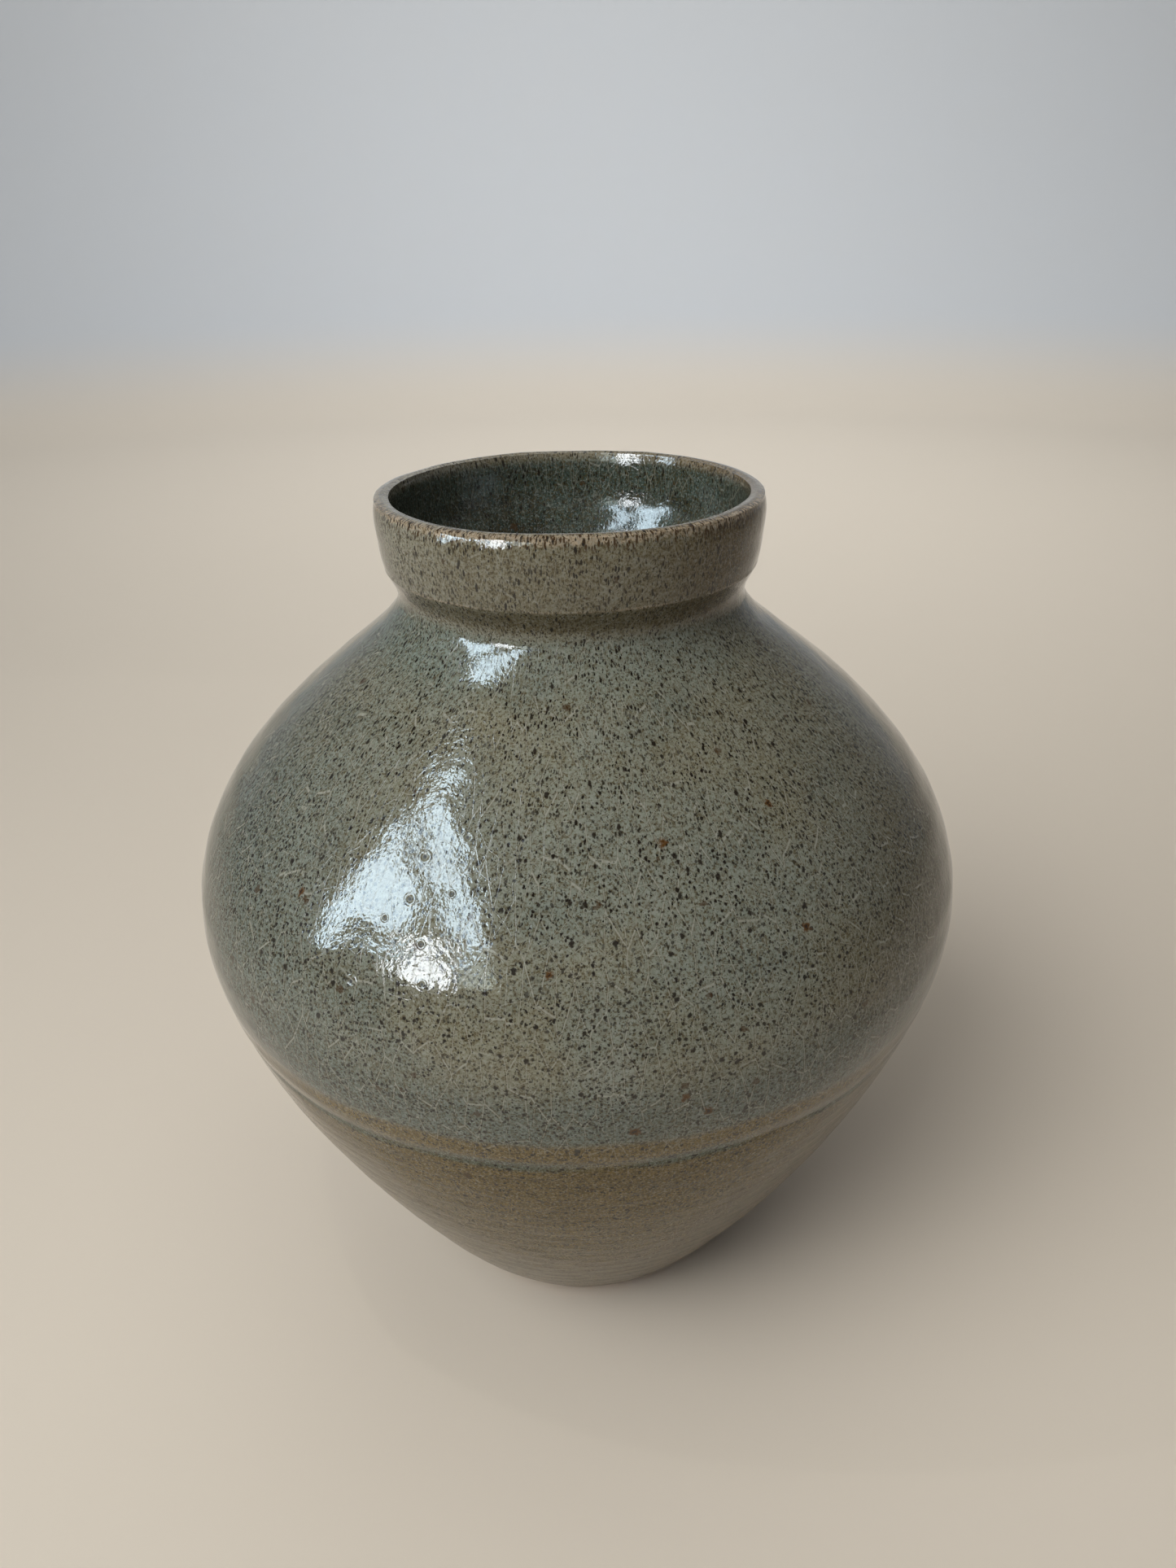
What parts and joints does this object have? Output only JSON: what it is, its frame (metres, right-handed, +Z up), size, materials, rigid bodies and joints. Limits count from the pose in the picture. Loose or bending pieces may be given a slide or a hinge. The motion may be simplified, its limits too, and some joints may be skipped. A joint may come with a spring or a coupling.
{
  "type": "stoneware pottery vase",
  "caption": "Wheel-thrown round-bodied stoneware vase with an upright collar, small turned foot and speckled, crackled grey-green celadon glaze.",
  "frame": {"origin": "centre of the foot, on the plane that the vase stands on", "axes": "+Z up the vase's axis of revolution; -Y is the side that faces the viewer; +X to the viewer's right"},
  "size_m": [0.2034, 0.2034, 0.232],
  "materials": {
    "stoneware_clay": "bare fired stoneware, fine grog, matt",
    "collar_clay": "fired stoneware under glaze, matt",
    "lower_wall_glaze": "thin satin khaki ash glaze with olive-brown speckle over turning rings",
    "shoulder_glaze": "glossy grey-green celadon with dark iron speckle and fine pale crackle",
    "collar_glaze": "glossy khaki glaze with iron speckle, breaking tan over the lip",
    "inner_glaze": "glossy deep blue-green celadon lining with crackle"
  },
  "bodies": {
    "root": {"clay_body": "stoneware_clay", "clay_collar": "collar_clay", "lower_wall_glaze": "lower_wall_glaze", "shoulder_glaze": "shoulder_glaze", "collar_glaze": "collar_glaze", "inner_glaze": "inner_glaze"}
  },
  "joints": []
}
